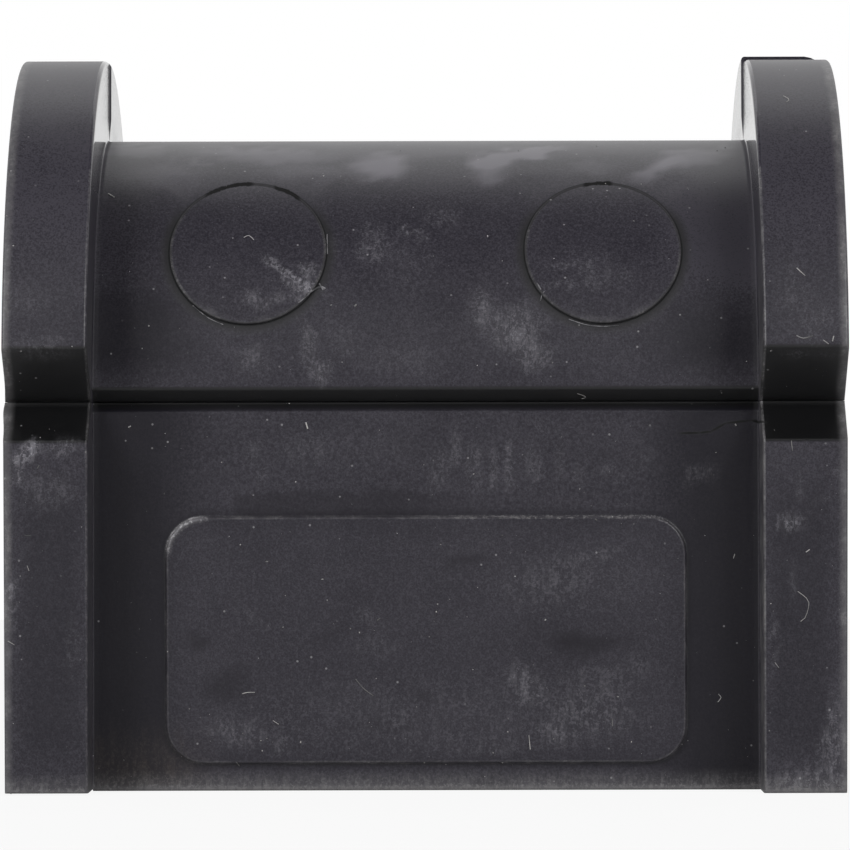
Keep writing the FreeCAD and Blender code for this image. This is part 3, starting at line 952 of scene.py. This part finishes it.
def strands(name, threads):
    """A mesh of plain edges along the threads, each point with its thickness."""
    lift, girth = 0.6, 0.8
    thread_points, edges, thicknesses = [], [], []
    for thickness, *path in threads:
        for i, (x, z) in enumerate(path):
            if i:
                edges.append((len(thread_points) - 1, len(thread_points)))
            thread_points.append(on_front(x, z, thickness * lift))
            thicknesses.append(thickness * girth * mm)
    line_mesh = bpy.data.meshes.new(name)
    line_mesh.from_pydata(thread_points, edges, [])
    line_mesh.attributes.new("thickness", "FLOAT", "POINT").data.foreach_set("value", thicknesses)
    return line_mesh


def round_threads():
    """Turns plain edges into round threads of their own thickness."""
    tree, given, result = new_group("threads", [
        ("Geometry", "NodeSocketGeometry"), ("Points along", "NodeSocketInt"), ("Sides", "NodeSocketInt"),
        ("Material", "NodeSocketMaterial")])
    thickness = add_node(tree, "GeometryNodeInputNamedAttribute", {"data_type": "FLOAT"}, {
        "Name": "thickness"})
    line = add_node(tree, "GeometryNodeMeshToCurve", {}, {0: given["Geometry"]})
    curved = add_node(tree, "GeometryNodeCurveSplineType", {"spline_type": "CATMULL_ROM"}, {0: line})
    even = add_node(tree, "GeometryNodeResampleCurve", {}, {"Curve": curved, "Count": given["Points along"]})
    circle = add_node(tree, "GeometryNodeCurvePrimitiveCircle", {}, {"Resolution": given["Sides"], "Radius": 1.0})
    tube = add_node(tree, "GeometryNodeCurveToMesh", {}, {
        "Curve": even, "Profile Curve": circle, "Scale": thickness, "Fill Caps": True})
    real = add_node(tree, "GeometryNodeRealizeInstances", {}, {0: tube})
    coated = add_node(tree, "GeometryNodeSetMaterial", {}, {"Geometry": real, "Material": given["Material"]})
    tree.links.new(coated.outputs[0], result.inputs[0])
    return tree


thread_group = round_threads()
threads = grown("lint", strands("lint", lint), thread_group, {
    "Points along": 8, "Sides": 6, "Material": pale_dust})
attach(threads, "root")


# Flash: slivers of rubber that squeezed out where the disc inserts met the mould
# and weren't trimmed. They are part of the moulding and lie on the discs' rims.
flash = [
    (0.1, (-9.3, 38.75), (-8.75, 39.15), (-8.2, 39.35), (-7.85, 39.2)),
    (0.07, (-8.3, 39.6), (-8.15, 39.35), (-8.0, 39.1)), (0.06, (-9.9, 38.1), (-9.3, 38.6), (-8.9, 39.1)),
    (0.055, (9.3, 38.95), (9.1, 38.6), (9.0, 38.2)), (0.05, (8.75, 39.6), (9.05, 39.1)),
    (0.05, (11.2, 36.75), (12.6, 36.3), (13.9, 36.18), (15.1, 36.25)),
    (0.045, (-18.2, 37.9), (-17.0, 36.95), (-15.8, 36.4)), (0.04, (-7.75, 43.6), (-7.7, 42.0)),
]
rubber_sliver, shader, maker, place = new_finish("rubber_sliver")
dull, bright = (0.05, 0.05, 0.055, 1), (0.24, 0.235, 0.25, 1)
feed(tinted(dull, bright, fade(grain(place, 2.0), 0.35, 0.65)), shader, "Base Color")
shader.inputs["Roughness"].default_value = 0.4
slivers = grown("mould_flash", strands("mould_flash", flash), thread_group, {
    "Points along": 14, "Sides": 6, "Material": rubber_sliver})
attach(slivers, "root")


# The camera stands square on to the slit side, a little below the slit's height,
# with a long lens. Its sizes are in metres, and rows and columns are the photo's.
photo_size = 850
photo_scale = 0.065 / 847  # metres to a pixel
view_distance = 0.4208
nearest_face = -0.0286
camera_height = 0.0244
level_row = 477.7
camera_side = 0.0023
camera_roll = math.radians(-0.14)
object_column = 425.25

camera_data = bpy.data.cameras.new("camera")
camera_data.sensor_width = 36
camera_data.lens = camera_data.sensor_width * view_distance / (photo_scale * photo_size)
camera_data.shift_x = (photo_size / 2 - object_column - camera_side / photo_scale) / photo_size
camera_data.shift_y = (level_row - photo_size / 2) / photo_size
camera_data.clip_start = 0.01
camera = bpy.data.objects.new("camera", camera_data)
scene.collection.objects.link(camera)
camera.matrix_world = (
    Matrix.Translation((camera_side, nearest_face - view_distance, camera_height))
    @ Matrix.Rotation(math.radians(90), 4, "X")
    @ Matrix.Rotation(camera_roll, 4, "Z")
)
scene.camera = camera


# Plain studio: a pale floor, a white backdrop behind, a soft lamp on each side of
# the camera and a dimmer one overhead. The camera's own side stays dark.
stage_half = 1.6
stage_front = -1.2
stage_back = 0.5
backdrop_top = 1.3


def white_seen(name, share, seen_by, grey):
    """A matt surface that shows white by that share to the named kinds of ray."""
    surface = bpy.data.materials.new(name)
    surface.use_nodes = True
    surface.node_tree.nodes.clear()
    maker = Wire(surface.node_tree)
    rays = maker.node("ShaderNodeLightPath")
    seen = sum(rays.other(kind) for kind in seen_by).at_most(1.0)
    matt = maker.node("ShaderNodeBsdfDiffuse", {}, {"Color": (grey, grey, grey, 1)})
    white = maker.node("ShaderNodeEmission")
    mixed = maker.node("ShaderNodeMixShader", {}, {0: seen * share, 1: matt, 2: white})
    feed(mixed, surface.node_tree.nodes.new("ShaderNodeOutputMaterial"), "Surface")
    return surface


pale_floor = white_seen("pale_floor", 0.9, ["Is Camera Ray"], 0.8)
white_backdrop = white_seen("white_backdrop", 1.0, ["Is Camera Ray", "Is Glossy Ray", "Is Transmission Ray"], 0.8)
for name, near_edge, far_edge, surface in [
        ("floor", (stage_front, 0), (stage_back, 0), pale_floor),
        ("backdrop", (stage_back, 0), (stage_back, backdrop_top), white_backdrop)]:
    corners = [(-stage_half, *near_edge), (stage_half, *near_edge), (stage_half, *far_edge), (-stage_half, *far_edge)]
    sheet = bpy.data.meshes.new(name)
    sheet.from_pydata(corners, [], [(0, 1, 2, 3)])
    sheet.materials.append(surface)
    stage = bpy.data.objects.new(name, sheet)
    scene.collection.objects.link(stage)
lamp_aim = Vector((0, 0, 0.03))


def soft_lamp(name, azimuth, elevation, distance, size, power):
    """A soft lamp that faces the object; azimuth 0 is the camera's side."""
    lamp = bpy.data.lights.new(name, "AREA")
    lamp.shape = "RECTANGLE"
    lamp.size, lamp.size_y = size
    lamp.energy = power
    around, up = math.radians(azimuth), math.radians(elevation)
    away = Vector((math.sin(around) * math.cos(up), -math.cos(around) * math.cos(up), math.sin(up)))
    holder = bpy.data.objects.new(name, lamp)
    scene.collection.objects.link(holder)
    facing = away.to_track_quat("Z", "Y").to_matrix().to_4x4()
    holder.matrix_world = Matrix.Translation(away * distance + lamp_aim) @ facing


soft_lamp("left_lamp", -41, 27, 0.8, (0.36, 0.36), 3.1)
soft_lamp("right_lamp", 38, 27, 0.8, (0.36, 0.36), 2.6)
soft_lamp("top_lamp", 180, 62, 0.8, (1.0, 0.5), 0.5)

scene.view_settings.view_transform = "Standard"
world = bpy.data.worlds.new("studio")
scene.world = world
world.use_nodes = True
world.node_tree.nodes["Background"].inputs["Color"].default_value = (0.06, 0.06, 0.06, 1)
world.node_tree.nodes["Background"].inputs["Strength"].default_value = 1.0
